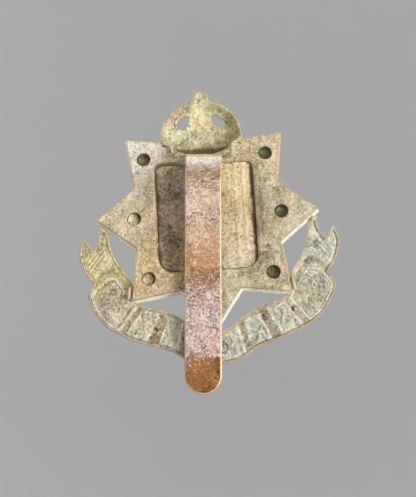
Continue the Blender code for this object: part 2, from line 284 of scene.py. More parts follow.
def filled(loops, step, rings):
    """Points and triangles that fill the first loop around the others.

    Rings of points follow every loop at these distances, and a grid of points fills the rest.
    """
    edge_points, constraints = [], []
    for loop in loops:
        first = len(edge_points)
        edge_points.extend(map(tuple, loop))
        constraints.extend((first + i, first + (i + 1) % len(loop)) for i in range(len(loop)))
    extra = []
    for number, loop in enumerate(loops):
        normal = outward(loop) * (-1 if number == 0 else 1)
        extra.extend((loop + normal * ring, ring * 0.8) for ring in rings)
    low, high = loops[0].min(0), loops[0].max(0)
    rows = int((high[1] - low[1]) / (step * ROW_HEIGHT)) + 1
    columns = int((high[0] - low[0]) / step) + 2
    column, row = np.meshgrid(np.arange(columns), np.arange(rows))
    across = (column + 0.5 * (row % 2)).ravel() * step
    grid = np.column_stack([across, row.ravel() * step * ROW_HEIGHT]) + low
    extra.append((grid, rings[-1] + step * 0.55))
    kept = []
    for points, clearance in extra:
        points = points[in_sheet(points, loops)]
        gaps = np.min([distance(points, loop) for loop in loops], axis=0)
        kept.append(points[gaps >= clearance])
    everything = edge_points + [tuple(p) for p in np.vstack(kept)]
    result = geometry.delaunay_2d_cdt([Vector(p) for p in everything], constraints, [], 0, 1e-5, False)
    points = np.array([tuple(v) for v in result[0]])
    faces = np.array(result[2])
    faces = faces[in_sheet(points[faces].mean(axis=1), loops)]
    corners = points[faces]
    turn = np.cross(corners[:, 1] - corners[:, 0], corners[:, 2] - corners[:, 0])
    faces[turn < 0] = faces[turn < 0][:, ::-1]
    return points, faces


def open_edges(faces):
    """The edges that only one triangle has, each as that triangle runs along it."""
    edges = np.vstack([faces[:, [0, 1]], faces[:, [1, 2]], faces[:, [2, 0]]])
    known = {tuple(e) for e in edges}
    return [(a, b) for a, b in known if (b, a) not in known]


def placed(name, data):
    """Puts an object with this data in the scene."""
    made = bpy.data.objects.new(name, data)
    bpy.context.scene.collection.objects.link(made)
    return made


def stand_in(name, node, mesh, material):
    """Puts a finished mesh in the scene in the place of a CAD node."""
    mesh.materials.append(material)
    piece = placed(name, mesh)
    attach(piece, "root")
    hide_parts(node)


def relief(name, node, loops, step, rings, rear, face, paint, material):
    """A closed piece with heights and looks at each point of its rear and its face, and walls between."""
    points, triangles = filled(loops, step, rings)
    spot = Spot(points, loops)
    rear_y, face_y = rear(spot), face(spot)
    face_y = np.minimum(face_y, rear_y - THINNEST)
    count = len(points)
    levels = [np.column_stack([spot.x, rear_y, spot.z]), np.column_stack([spot.x, face_y, spot.z])]
    rear_look, face_look = paint(spot, True), paint(spot, False)
    rear_look["calm"], face_look["calm"] = np.zeros(count), np.ones(count)
    faces = [triangles[:, ::-1], triangles + count]
    edges = open_edges(triangles)
    edge_verts = sorted({v for edge in edges for v in edge})
    place = {v: i for i, v in enumerate(edge_verts)}
    rows = [{v: v for v in edge_verts}]
    looks = [rear_look, face_look]
    total = 2 * count
    for wall_step in range(1, WALL_STEPS):
        share = wall_step / WALL_STEPS
        levels.append((levels[0] * (1 - share) + levels[1] * share)[edge_verts])
        between = {key: look * (1 - share) + face_look[key] * share for key, look in rear_look.items()}
        looks.append({key: look[edge_verts] for key, look in between.items()})
        rows.append({v: total + place[v] for v in edge_verts})
        total += len(edge_verts)
    rows.append({v: v + count for v in edge_verts})
    walls = []
    for upper, lower in zip(rows, rows[1:]):
        for a, b in edges:
            walls.append((upper[b], upper[a], lower[a]))
            walls.append((upper[b], lower[a], lower[b]))
    # The rear sheet is seen from +y, so there a triangle runs the other way round.
    faces.append(np.array(walls)[:, ::-1])
    mesh = bpy.data.meshes.new(name)
    mesh.from_pydata(np.vstack(levels) * MM, [], np.vstack(faces).tolist())
    add_looks(mesh, {key: np.concatenate([look[key] for look in looks]) for key in rear_look})
    mesh.shade_smooth()
    mesh.set_sharp_from_angle(angle=math.radians(SHARP_EDGE_DEG))
    stand_in(name, node, mesh, material)


def add_looks(mesh, looks):
    """Writes each look onto the mesh: a colour for each point, or one number."""
    for key, values in looks.items():
        if values.ndim == 2:
            colours = np.column_stack([values, np.ones(len(values))])
            mesh.attributes.new(key, "FLOAT_COLOR", "POINT").data.foreach_set("color", colours.ravel())
        else:
            mesh.attributes.new(key, "FLOAT", "POINT").data.foreach_set("value", values.astype(float))


def toned(spot, node, tones):
    """A colour at each place, blended from (across, up, reach, colour) patches.

    They are placed as shares of the CAD node's half width and half height, from its middle.
    """
    low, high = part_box(node)
    centre_x, centre_z = (low.x + high.x) / 2 / MM, (low.z + high.z) / 2 / MM
    half_x, half_z = (high.x - low.x) / 2 / MM, (high.z - low.z) / 2 / MM
    total = np.full(len(spot.x), 1e-6)
    colour = np.zeros((len(spot.x), 3))
    for across, up, reach, code in tones:
        gap = spot.away(centre_x + across * half_x, centre_z + up * half_z)
        weight = np.exp(-((gap / (reach * half_x)) ** 2)) + 1e-5
        total += weight
        colour += weight[:, None] * linear(code)
    return colour / total[:, None]


# Materials


class Nodes:
    """A material's node tree, built up by short calls that each return an output socket.

    A value is a socket, a number or a colour's six-digit code.
    """

    def __init__(self, name):
        self.material = bpy.data.materials.new(name)
        self.material.use_nodes = True
        self.tree = self.material.node_tree
        self.shader = self.tree.nodes["Principled BSDF"]
        coordinates = self.add("ShaderNodeTexCoord").outputs["Object"]
        scaled = self.add("ShaderNodeVectorMath", operation="SCALE")
        self.feed(scaled.inputs[0], coordinates)
        scaled.inputs["Scale"].default_value = 1 / MM
        self.mm = scaled.outputs[0]

    def add(self, kind, **settings):
        """A new node with these settings."""
        node = self.tree.nodes.new(kind)
        for key, value in settings.items():
            setattr(node, key, value)
        return node

    def feed(self, socket, value):
        """Links or sets an input socket."""
        if isinstance(value, bpy.types.NodeSocket):
            self.tree.links.new(value, socket)
        elif isinstance(value, str):
            socket.default_value = (*linear(value), 1.0)
        else:
            socket.default_value = value

    def look(self, name, output="Fac"):
        """One of the looks that the mesh carries."""
        return self.add("ShaderNodeAttribute", attribute_name=name).outputs[output]

    def noise(self, size, detail=3, roughness=0.6, shift=0.0, distortion=0.0):
        """Noise between 0 and 1 whose lumps have this size in millimetres."""
        moved = self.add("ShaderNodeVectorMath", operation="ADD")
        self.feed(moved.inputs[0], self.mm)
        moved.inputs[1].default_value = (shift, shift, shift)
        made = self.add("ShaderNodeTexNoise")
        self.feed(made.inputs["Vector"], moved.outputs[0])
        made.inputs["Scale"].default_value = 1 / size
        made.inputs["Detail"].default_value = detail
        made.inputs["Roughness"].default_value = roughness
        made.inputs["Distortion"].default_value = distortion
        return made.outputs["Fac"]

    def math(self, operation, a, b=0.0, clamp=False):
        made = self.add("ShaderNodeMath", operation=operation, use_clamp=clamp)
        self.feed(made.inputs[0], a)
        self.feed(made.inputs[1], b)
        return made.outputs[0]

    def plus(self, a, b, clamp=False):
        return self.math("ADD", a, b, clamp)

    def times(self, a, b):
        return self.math("MULTIPLY", a, b)

    def ramp(self, value, low, high, to_low=0.0, to_high=1.0, kind="LINEAR"):
        """The value carried from one range to another along a straight line, held at the ends."""
        made = self.add("ShaderNodeMapRange", interpolation_type=kind)
        self.feed(made.inputs["Value"], value)
        limits = {"From Min": low, "From Max": high, "To Min": to_low, "To Max": to_high}
        for socket, number in limits.items():
            made.inputs[socket].default_value = number
        return made.outputs["Result"]

    def span(self, value, low, high, to_low=0.0, to_high=1.0):
        """The same along an S-curve."""
        return self.ramp(value, low, high, to_low, to_high, "SMOOTHSTEP")

    def mix(self, share, a, b):
        """Colour a, with this share of colour b in it."""
        made = self.add("ShaderNodeMix", data_type="RGBA", clamp_result=False)
        self.feed(made.inputs[0], share)
        self.feed(made.inputs[6], a)
        self.feed(made.inputs[7], b)
        return made.outputs[2]

    def brighten(self, colour, amount):
        """A colour, so many times as bright."""
        made = self.add("ShaderNodeVectorMath", operation="SCALE")
        self.feed(made.inputs[0], colour)
        self.feed(made.inputs["Scale"], amount)
        return made.outputs[0]


@dataclass
class Finish:
    """What sets one metal's surface apart: four colours, then how strongly each effect shows."""

    edge: str
    dirt: str
    bloom: str
    stain: str
    bloom_share: float = 0.5
    bloom_paleness: float = 0.5
    crinkle_share: float = 0.5
    contrast: float = 0.35
    base_level: float = 0.76
    relief_mm: float = 0.1


# The same for every metal. A bloom is lighter than the metal before its own pale colour is mixed in.
BLOOM_LIFT = 1.35
STAIN_SHARE = 0.5
EDGE_SHARE = 0.8
METALLIC = 0.45
ROUGHNESS = 0.5


def patina(name, finish):
    """Worn metal: a mottled tone, stains, specks of pale bloom, dirt and painted shade in hollows and
    corners, and bright rubbed edges and painted highlights.

    The look called calm fades the mottling, the stains and the pits, which a rubbed face has less of.
    """
    n = Nodes(name)
    tone = n.look("tone", "Color")
    grime, wear, bloom_here, calm = n.look("grime"), n.look("wear"), n.look("bloom"), n.look("calm")
    broad = n.noise(3.6, 4, 0.65)
    patches = n.noise(2.6, 3, 0.6, shift=71.0, distortion=0.5)
    mottle = n.noise(1.1, 6, 0.75, shift=13.0, distortion=0.7)
    grain = n.noise(0.42, 4, 0.7, shift=29.0, distortion=0.3)
    specks = n.noise(0.4, 5, 0.8, shift=41.0, distortion=0.6)
    creases = n.noise(1.4, 5, 0.75, shift=57.0, distortion=1.0)

    level = n.plus(n.ramp(mottle, 0.4, 0.6, -1, 1), n.ramp(grain, 0.4, 0.6, -0.7, 1.2))
    level = n.times(level, n.span(patches, 0.4, 0.6, 0.35, 1.25))
    level = n.plus(level, n.ramp(broad, 0.38, 0.62, -0.9, 0.9))
    level = n.times(level, n.ramp(calm, 0, 1, finish.contrast / 3, finish.contrast / 10))
    colour = n.brighten(tone, n.plus(level, n.ramp(calm, 0, 1, finish.base_level, 1)))

    stained_here = n.times(n.span(broad, 0.48, 0.66), n.ramp(calm, 0, 1, STAIN_SHARE, STAIN_SHARE / 3))
    colour = n.mix(stained_here, colour, n.mix(0.5, colour, finish.stain))

    bloom_level = n.plus(specks, n.times(bloom_here, 0.16))
    bloomed = n.times(n.span(bloom_level, 0.55, 0.63), finish.bloom_share)
    off_crease = n.math("ABSOLUTE", n.math("SUBTRACT", creases, 0.5))
    crinkled = n.span(bloom_here, 0.0, 0.8, 0, finish.crinkle_share)
    veined = n.times(n.span(off_crease, 0.05, 0.01), crinkled)
    bloomed = n.math("MAXIMUM", bloomed, veined)
    pale = n.mix(finish.bloom_paleness, n.brighten(tone, BLOOM_LIFT), finish.bloom)
    colour = n.mix(bloomed, colour, pale)

    pits = n.ramp(n.plus(mottle, grain), 1.0, 0.72, -0.18, 0.2)
    pitted = n.times(n.span(patches, 0.4, 0.6, 0.3, 1.3), n.ramp(calm, 0, 1, 1, 0.3))
    dirt_and_shade = n.span(n.plus(grime, n.times(pits, pitted)), 0.12, 0.95)
    # The dirt colour paints both real dirt and painted shade.
    colour = n.mix(dirt_and_shade, colour, finish.dirt)

    # Rubbed edges and painted highlights both take the edge colour.
    rubbed = n.plus(wear, n.ramp(grain, 0.3, 0.7, -0.25, 0.25))
    rubbed = n.times(n.span(rubbed, 0.35, 0.75), EDGE_SHARE)
    n.feed(n.shader.inputs["Base Color"], n.mix(rubbed, colour, finish.edge))

    rise = n.span(n.plus(mottle, bloomed), 0.3, 1.3, -0.1, 0.22)
    uneven = n.plus(n.times(rubbed, -0.16), rise)
    n.feed(n.shader.inputs["Roughness"], n.plus(uneven, ROUGHNESS, clamp=True))
    bare = n.math("SUBTRACT", 1.0, n.math("MAXIMUM", dirt_and_shade, bloomed))
    n.feed(n.shader.inputs["Metallic"], n.times(bare, METALLIC))

    height = n.plus(n.plus(mottle, n.times(grain, 0.55)), n.times(bloomed, 0.35))
    relief_node = n.add("ShaderNodeBump")
    relief_node.inputs["Distance"].default_value = finish.relief_mm * MM
    n.feed(relief_node.inputs["Height"], height)
    n.feed(n.shader.inputs["Normal"], relief_node.outputs["Normal"])
    return n.material


STAR_FINISH = Finish(
    edge="dcae72", dirt="66502c", bloom="faefd6", stain="a07c50",
    bloom_share=0.9, crinkle_share=0.7, contrast=0.85,
)
SHIELD_FINISH = Finish(
    edge="e0c088", dirt="503c20", bloom="f4e8c8", stain="b89458",
    bloom_share=0.82, crinkle_share=0.85, contrast=1.2, base_level=0.68, relief_mm=0.14,
)
STUD_FINISH = Finish(
    edge="f0dca8", dirt="3c3a1e", bloom="e8e4c0", stain="8a7a48",
    bloom_share=0.3, contrast=0.9,
)
CROWN_FINISH = Finish(
    edge="e8d096", dirt="665826", bloom="fffbe0", stain="c8a064",
    bloom_share=0.8, contrast=1.1, base_level=0.74, relief_mm=0.14,
)
SCROLL_FINISH = Finish(
    edge="dca86a", dirt="5c522c", bloom="f5f4de", stain="96794c",
    bloom_share=0.85, bloom_paleness=0.7, crinkle_share=0.9,
    contrast=1.15, base_level=0.82, relief_mm=0.2,
)
SLIDER_FINISH = Finish(
    edge="f2cfa4", dirt="5a3418", bloom="f4ece6", stain="a8683c",
    bloom_share=0.85, bloom_paleness=0.9, crinkle_share=0.4,
    contrast=0.75, base_level=0.78, relief_mm=0.05,
)
BRAZE_FINISH = Finish(
    edge="f4ecc8", dirt="5a5236", bloom="f6f4ec", stain="c8b070",
    bloom_share=0.6,
)


# Star


STAR_THICKNESS = 1.3
STAR_EDGE_Y = -1.15
STAR_DRAFT = 0.25
# How much wider the edge's slope is on the sides that face down
LOWER_DRAFT = 0.2
STAR_POINTS = 8
STAR_STRETCH = 1.06
# Where a rear lies against the star's face and isn't seen
AGAINST_STAR_Y = -1.36
STUDS = range(1, 8)


def star_angle(spot):
    """The angle from the middle of the nearest star point, in degrees, and the radius."""
    angle = np.degrees(np.arctan2(spot.z / STAR_STRETCH, spot.x))
    step = 360 / STAR_POINTS
    return (angle + step / 2) % step - step / 2, np.hypot(spot.x, spot.z / STAR_STRETCH)


# The colours on the star's back, patch by patch: across, up, reach and colour, as toned wants them
STAR_TONES = (
    (0.74, 0.80, 0.25, "fff8e6"),
    (0.60, 0.72, 0.14, "f6ecd8"),
    (0.62, 0.45, 0.22, "c8b896"),
    (-0.72, 0.78, 0.25, "d2c096"),
    (0.92, 0.02, 0.2, "e6cc8c"),
    (0.72, 0.08, 0.22, "dccdb0"),
    (-0.9, 0.02, 0.2, "e0d6c0"),
    (-0.72, 0.2, 0.16, "cbb894"),
    (-0.72, -0.14, 0.14, "d8c8a4"),
    (0.58, -0.28, 0.24, "e2c080"),
    (0.50, 0.0, 0.12, "c4a87c"),
    (0.60, 0.2, 0.2, "d0b890"),
    (0.62, -0.62, 0.2, "c9ae7c"),
    (0.40, -0.62, 0.16, "c4b08c"),
    (-0.62, -0.62, 0.25, "c4b086"),
    (0.25, -0.62, 0.16, "b49868"),
    (-0.58, 0.0, 0.16, "b09a74"),
    (-0.56, 0.3, 0.14, "b8a684"),
    (-0.58, -0.3, 0.2, "c6b698"),
    (-0.3, 0.58, 0.2, "c2ac7c"),
    (0.4, 0.56, 0.2, "a8957a"),
    (-0.15, -0.75, 0.22, "ccc6a4"),
)
# Dark patches on the star's back: x, z, reach and strength. Those about the crown's foot, on both sides
# of the slider's top, are painted shadow; the lower ones are dull stains.
STAR_STAINS_AND_SHADOWS = (
    (0.3, 10.6, 2.6, 0.5),
    (5.0, 10.2, 1.7, 0.6),
    (7.6, 9.4, 1.3, 0.35),
    (7.4, 11.6, 1.2, 0.25),
    (-3.6, 10.4, 0.9, 0.4),
    (-6.4, 10.6, 1.6, 0.3),
    (-8.5, 8.6, 1.2, 0.3),
    (-9.8, 0.5, 1.6, 0.15),
    (10.3, -10.5, 1.8, 0.2),
    (-10.5, 2.5, 2.5, 0.2),
    (-5.5, -10.8, 1.6, 0.2),
)
STAR_FACE_TONES = (
    (0.0, 0.0, 0.6, "c8b58c"),
    (0.7, 0.7, 0.3, "d8c8a4"),
    (-0.7, -0.6, 0.3, "c0a878"),
    (0.7, -0.6, 0.3, "cdb484"),
    (-0.8, 0.3, 0.3, "d2c19c"),
)
STAR_WALL_TONE = "c8a878"
# The pale tone of the walls that face down is partly pale patina and partly painted highlight where the
# low key light falls.
STAR_LOWER_WALL_PATINA_AND_HIGHLIGHT = "e4e6d2"
ROLLED_LIP = 0.9
STUD_LIP = 0.1
STUD_SEAT = 1.95
RAY_DEG = 9.0
# The rays begin between these radii
RAY_START = (7, 12)


def stain_and_painted_shadow(spot):
    """How much dull stain and painted shadow lies on the back of the star, and of the crown where they
    meet.
    """
    return sum(amount * bump(spot.away(x, z), 0, reach) for x, z, reach, amount in STAR_STAINS_AND_SHADOWS)


def middle_of(node):
    """The x and z of the middle of a CAD node's box."""
    low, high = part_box(node)
    return (low.x + high.x) / 2 / MM, (low.z + high.z) / 2 / MM


def fluting(off_ridge, radius):
    """The rays on the star's face: 1 on their crests, -1 in the grooves between and 0 near the middle."""
    return np.cos(np.radians(off_ridge * 360 / RAY_DEG)) * smooth(*RAY_START, radius)


def lip(distance_in, radius):
    """How far a rounded edge has fallen at a distance from it."""
    inside = np.clip(radius - distance_in, 0, radius)
    return radius - np.sqrt(radius**2 - inside**2)


def make_star():
    """The star: a flat back with a rolled edge round its window, and a fluted face."""
    scroll_loop = fine(section("scroll", SCROLL_CUT_Y)[0])
    crown_loop = fine(section("crown", CROWN_BACK_Y)[0], wander=0)
    outer, window, *holes = section("star_plate", STAR_CUT_Y)
    # The edge slopes, so the outline is widest at the face.
    outer = fine(outer, grow=STAR_DRAFT * (1 + STAR_CUT_Y / STAR_THICKNESS), smoothing=2, seed=1)
    window = fine(window, seed=2, smoothing=6)
    holes = [fine(hole, step=0.16, smoothing=1, wander=0.02, seed=3 + i) for i, hole in enumerate(holes)]
    studs = [middle_of(f"star_stud_{number}") for number in STUDS]

    def draft(spot):
        """How far the nearest edge faces down, from 0 to 1, and how wide that edge's slope is."""
        below = smooth(0.1, 0.5, -spot.out[:, 1])
        return below, STAR_DRAFT + LOWER_DRAFT * below

    def clear_of_crown(spot):
        return smooth(0.1, 0.5, -depth_inside(spot.points, crown_loop))

    def rear(spot):
        free = clear_of_crown(spot)
        wide = draft(spot)[1]
        drafted = STAR_EDGE_Y * (1 - np.clip(spot.rims[0] / wide, 0, 1)) ** 1.15 * free
        rolled = lip(spot.rims[1], ROLLED_LIP)
        pierced = lip(np.min(spot.rims[2:], axis=0), STUD_LIP)
        sunk = 0.14 * bump(spot.rims[1], 1.1, 0.6) * smooth(0, -4, spot.x)
        worn = lip(np.clip(spot.rims[0] - wide, 0, None), 0.12) * free
        waves = 0.1 * spot.rough(3.0, 11) + 0.05 * spot.rough(0.8, 12)
        away = smooth(0.2, 0.8, spot.rim)
        return np.minimum(drafted - rolled - pierced - sunk - worn + (waves - 0.05) * away, 0)

    def face(spot):
        off_ridge, radius = star_angle(spot)
        ridge = 1 - np.abs(off_ridge) * STAR_POINTS / 180
        height = 0.98 + 0.16 * ridge + 0.075 * fluting(off_ridge, radius)
        height -= 0.16 * (1 - smooth(0.0, 0.4, spot.rims[0]))
        for x, z in studs:
            away = spot.away(x, z)
            height = np.where(away < STUD_SEAT, 1.22 - 0.12 * bump(away, 1.8, 0.12), height)
        seat = smooth(0.0, 0.3, depth_inside(spot.points, scroll_loop))
        return -np.minimum(height, 1.28) * (1 - seat) - 0.62 * seat

    def paint(spot, at_rear):
        edge, hole = spot.rims[0], np.min(spot.rims[2:], axis=0)
        if at_rear:
            below, wide = draft(spot)
            wall = 1 - smooth(-0.1, 0, edge - wide)
            wall_tone = blended(linear(STAR_WALL_TONE), linear(STAR_LOWER_WALL_PATINA_AND_HIGHLIGHT), below)
            tone = blended(toned(spot, "star_plate", STAR_TONES), wall_tone, wall)
            streaks = rough(spot.x * 2.2 + 0.6 * spot.z, spot.z * 0.9, 1.6, 13)
            tone = tone * (1 + 0.16 * spot.rough(2.4, 14) + 0.12 * streaks)[:, None]
            free = clear_of_crown(spot)
            wear = 0.75 * bump(edge - wide, 0.09, 0.11) * free + 0.6 * bump(hole, 0.08, 0.1)
            # The dark line where the back meets a downward-facing wall is dirt and painted shade.
            grime = 0.8 * bump(edge - wide, -0.05, 0.06) * below * free + stain_and_painted_shadow(spot)
            # Painted shade in a soft band beside the window on the -x side, where the plate dips towards
            # it.
            grime += 0.55 * bump(spot.rims[1], 0.9, 0.6) * smooth(-3, -6, spot.x) * smooth(9.5, 7, spot.z)
            # Painted shadow of the slider along the window's rim on the +x side.
            grime += 0.5 * smooth(0.7, 0.2, spot.rims[1]) * smooth(3, 6, spot.x)
            # On the walls that face down, the extra pale bloom is partly patina and partly painted
            # highlight.
            bloom = 0.45 + 0.45 * wall * below + 0.35 * spot.rough(2.8, 15)
        else:
            tone = toned(spot, "star_plate", STAR_FACE_TONES)
            rays = fluting(*star_angle(spot))
            grime = 0.35 * smooth(0.2, 1.0, -rays) + 0.15
            for x, z in studs:
                grime += 0.6 * bump(spot.away(x, z), 1.75, 0.2)
            wear = 0.5 * smooth(0.5, 1.0, rays) + 0.6 * bump(edge, 0.1, 0.15)
            bloom = np.full(len(edge), 0.1)
        return {"tone": tone, "grime": np.clip(grime, 0, 1), "wear": wear, "bloom": bloom}

    material = patina("star_metal", STAR_FINISH)
    rings = (0.06, 0.12, 0.18, 0.24, 0.3, 0.36, 0.42, 0.48, 0.54, 0.62)
    loops = [outer, window, *holes]
    relief("star_relief", "star_plate", loops, 0.22, rings, rear, face, paint, material)


# Shield


SHIELD_TONES = (
    (0.62, 0.6, 0.4, "9c8a68"),
    (0.6, -0.3, 0.4, "8c7656"),
    (-0.5, 0.75, 0.3, "ecd9a0"),
    (-0.4, 0.2, 0.3, "e4cb92"),
    (-0.75, 0.1, 0.2, "cbb07c"),
    (-0.5, -0.3, 0.3, "dcc698"),
    (-0.55, -0.75, 0.3, "dccdb0"),
)
SHIELD_FACE_TONES = ((0.0, 0.3, 0.8, "d2bd90"), (0.0, -0.6, 0.8, "c0a878"))
PETALS = 8
BORDER_PEARLS = 44


def make_shield():
    """The shield: a shallow bowl seen through the star's window, and a rosette on its face."""
    outer = fine(section("shield", SHIELD_CUT_Y)[0], seed=21)
    window = fine(section("star_plate", STAR_CUT_Y)[1], grow=-0.03, wander=0, smoothing=6)
    centre_x = (window[:, 0].min() + window[:, 0].max()) / 2

    def rear(spot):
        inside = depth_inside(spot.points, window)
        bowl = -0.95 - 0.12 * smooth(1.0, 5.0, inside)
        bowl = bowl + 0.4 * np.exp(-np.clip(inside, 0, None) / 0.6)
        aside = np.abs(spot.x - centre_x)
        traces = 0.12 * bump(aside, 6.4, 0.2) + 0.08 * bump(aside, 5.0, 0.25)
        traces = traces * smooth(-8, -5, spot.z) + 0.1 * bump(spot.z, -3.4 + 0.1 * spot.x, 0.25)
        traces += 0.09 * bump(spot.away(-5, -5.5), 2.2, 0.25)
        lumps = 0.13 * spot.rough(1.8, 22) + 0.06 * spot.rough(0.6, 23)
        floor = np.minimum(bowl + traces + lumps, -0.5)
        return np.where(inside > 0.0, floor, AGAINST_STAR_Y)

    def face(spot):
        edge = spot.rims[0]
        border = 0.35 * (1 - smooth(0.15, 0.0, edge)) - 0.28 * smooth(1.0, 1.25, edge)
        along = np.arctan2(spot.z, spot.x - centre_x)
        pearls = np.maximum(0, np.cos(along * BORDER_PEARLS)) * bump(edge, 0.62, 0.2)
        radius = spot.away(centre_x, 0)
        petal = 4.6 + 0.9 * np.cos(PETALS * along)
        rosette = smooth(petal, petal - 0.9, radius) * (0.75 + 0.25 * np.cos(PETALS * along))
        rosette -= 0.55 * bump(radius, 2.1, 0.3) * (radius < 4)
        boss = np.sqrt(np.clip(1 - (radius / 1.8) ** 2, 0, 1))
        field_grain = 0.05 * spot.rough(0.5, 24) * smooth(1.2, 1.6, edge)
        height = 2.1 + border + 0.12 * pearls + 0.42 * np.maximum(rosette, 0) + 0.2 * boss + field_grain
        return -np.clip(height, 1.6, 2.84)

    def paint(spot, at_rear):
        if at_rear:
            inside = depth_inside(spot.points, window)
            tone = toned(spot, "shield", SHIELD_TONES)
            # The walls as the photo shows them from behind: the right one is on the -x side.
            right_wall = np.clip(spot.x - window[:, 0].min(), 0, None)
            left_wall = np.clip(window[:, 0].max() - spot.x, 0, None)
            # Painted shade in a band just inside the window's edge and along the right wall, which faces
            # away from the key light; the slider's painted shadow lies along the left wall.
            grime = 0.4 * np.exp(-np.clip(inside, 0, None) / 0.25)
            grime += 0.9 * bump(right_wall, 0.25, 0.45) + 0.45 * bump(left_wall, 0, 0.9)
            # The +x half is darker: partly dark patina and partly the slider's painted shadow.
            grime += 0.2 * smooth(1.0, 5.0, spot.x) + 0.3 * spot.rough(2.0, 25)
            wear = 0.55 * bump(right_wall, 1.5, 0.15) + 0.4 * bump(spot.x + 5.8, 0, 0.15)
            bloom = 0.55 + 0.25 * smooth(-1, -4, spot.x) + 0.4 * spot.rough(2.4, 26)
        else:
            tone = toned(spot, "shield", SHIELD_FACE_TONES)
            radius = spot.away(centre_x, 0)
            grime = 0.45 * bump(spot.rims[0], 1.3, 0.25) + 0.3 * bump(radius, 5.6, 0.8)
            grime += 0.35 * bump(radius, 2.1, 0.25)
            wear = 0.7 * bump(spot.rims[0], 0.2, 0.2) + 0.4 * bump(radius, 3.6, 0.8)
            bloom = np.full(len(radius), 0.1)
        return {"tone": tone, "grime": np.clip(grime, 0, 1), "wear": wear, "bloom": bloom}

    material = patina("shield_metal", SHIELD_FINISH)
    rings = (0.1, 0.22, 0.36, 0.52, 0.6, 0.68, 0.8)
    relief("shield_relief", "shield", [outer], 0.2, rings, rear, face, paint, material)


# Studs


# The two studs whose floors are bright; the other floors are in shadow and dirt
STUD_TONES = {5: "d8c9a0", 6: "e0d4b4"}
STUD_DARK = "74704a"
STUD_FACE_TONE = "d4bd86"
# The dome's radius, as a share of the stud's
DOME_SHARE = 0.86


def make_stud(number, material):
    """A domed stud whose shank shows as a hollow pit from behind."""
    node = f"star_stud_{number}"
    low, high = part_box(node)
    centre = np.array(middle_of(node))
    radius = (high.x - low.x) / 2 / MM
    shank = section(node, SHANK_CUT_Y)[0]
    shank_radius = np.linalg.norm(shank - centre, axis=1).mean()
    floor_y = high.y / MM
    outer = circle(centre, radius, 0.12)

    def rear(spot):
        away = spot.away(*centre)
        dimple = 0.35 * (1 - (away / shank_radius) ** 2)
        lumps = 0.06 * spot.rough(0.6, 30 + number)
        floor = floor_y - np.maximum(dimple, 0) + lumps - 0.05
        return np.where(away < shank_radius, floor, AGAINST_STAR_Y)

    def face(spot):
        away = spot.away(*centre) / radius
        dome = 0.82 * np.sqrt(np.clip(1 - (away / DOME_SHARE) ** 2, 0, 1))
        collar = 0.3 * bump(away, 0.93, 0.06)
        return -(1.45 + np.maximum(dome, collar)) - 0.01 * spot.rough(0.4, 40 + number)

    def paint(spot, at_rear):
        away = spot.away(*centre)
        bright = number in STUD_TONES
        code = STUD_TONES.get(number, STUD_DARK) if at_rear else STUD_FACE_TONE
        tone = np.tile(linear(code), (len(away), 1))
        if at_rear:
            # Dirt and painted shade darken the pit floors, the dark ones most, and the ring at each pit's
            # wall.
            grime = (0.2 if bright else 0.6) + 0.4 * bump(away, shank_radius, 0.3)
            # Painted shadow, cast by the rim, over the -x side of the two bright floors.
            grime += 0.6 * smooth(0.1, 0.8, (centre[0] - spot.x) / shank_radius) * bright
            wear = np.zeros(len(away))
        else:
            grime = 0.6 * bump(away / radius, 0.88, 0.06)
            wear = 0.7 * smooth(0.5, 0.1, away / radius)
        bloom = np.full(len(away), 0.2)
        return {"tone": tone, "grime": np.clip(grime, 0, 1), "wear": wear, "bloom": bloom}

    relief(f"stud_{number}", node, [outer], 0.13, (0.07, 0.15), rear, face, paint, material)


# Crown


# The dark patches low down are partly dark patina and partly painted shade at the foot of the hollow.
CROWN_TONES = (
    (0.0, 0.4, 0.25, "f4eebc"),
    (0.05, 0.1, 0.14, "f0c488"),
    (0.8, 0.2, 0.2, "cdb08c"),
    (0.62, -0.15, 0.2, "efe8c4"),
    (0.35, 0.52, 0.14, "b09872"),
    (-0.85, 0.1, 0.2, "c6ac7c"),
    (-0.55, 0.45, 0.16, "e0d69c"),
    (-0.45, -0.2, 0.2, "e2da9c"),
    (0.1, -0.25, 0.25, "ebe4b4"),
    (0.6, -0.5, 0.2, "bcb084"),
    (-0.6, -0.5, 0.25, "a89a64"),
    (0.0, -0.85, 0.5, "8c7f50"),
    (0.0, 0.75, 0.12, "d8cc9c"),
    (0.0, 0.95, 0.12, "b8a880"),
)
CROWN_FACE_TONES = ((0.0, 0.2, 0.8, "dcc688"), (0.0, -0.8, 0.6, "c8ac68"))
HOLLOW_DEPTH = 2.0
HOLLOW_CENTRE_Z = 14.2
HOLLOW_BOTTOM_Z = 10.2
WAIST_Z = 12.6
CROWN_BAND_TOP = 12.1
ARCH_CENTRE_Z = 13.4
ARCH_PEARLS = 36
PEARL_STEP = 1.15
FINIAL_Z = 19.6
ORB_Z = 20.35
ORB_RADIUS = 1.15


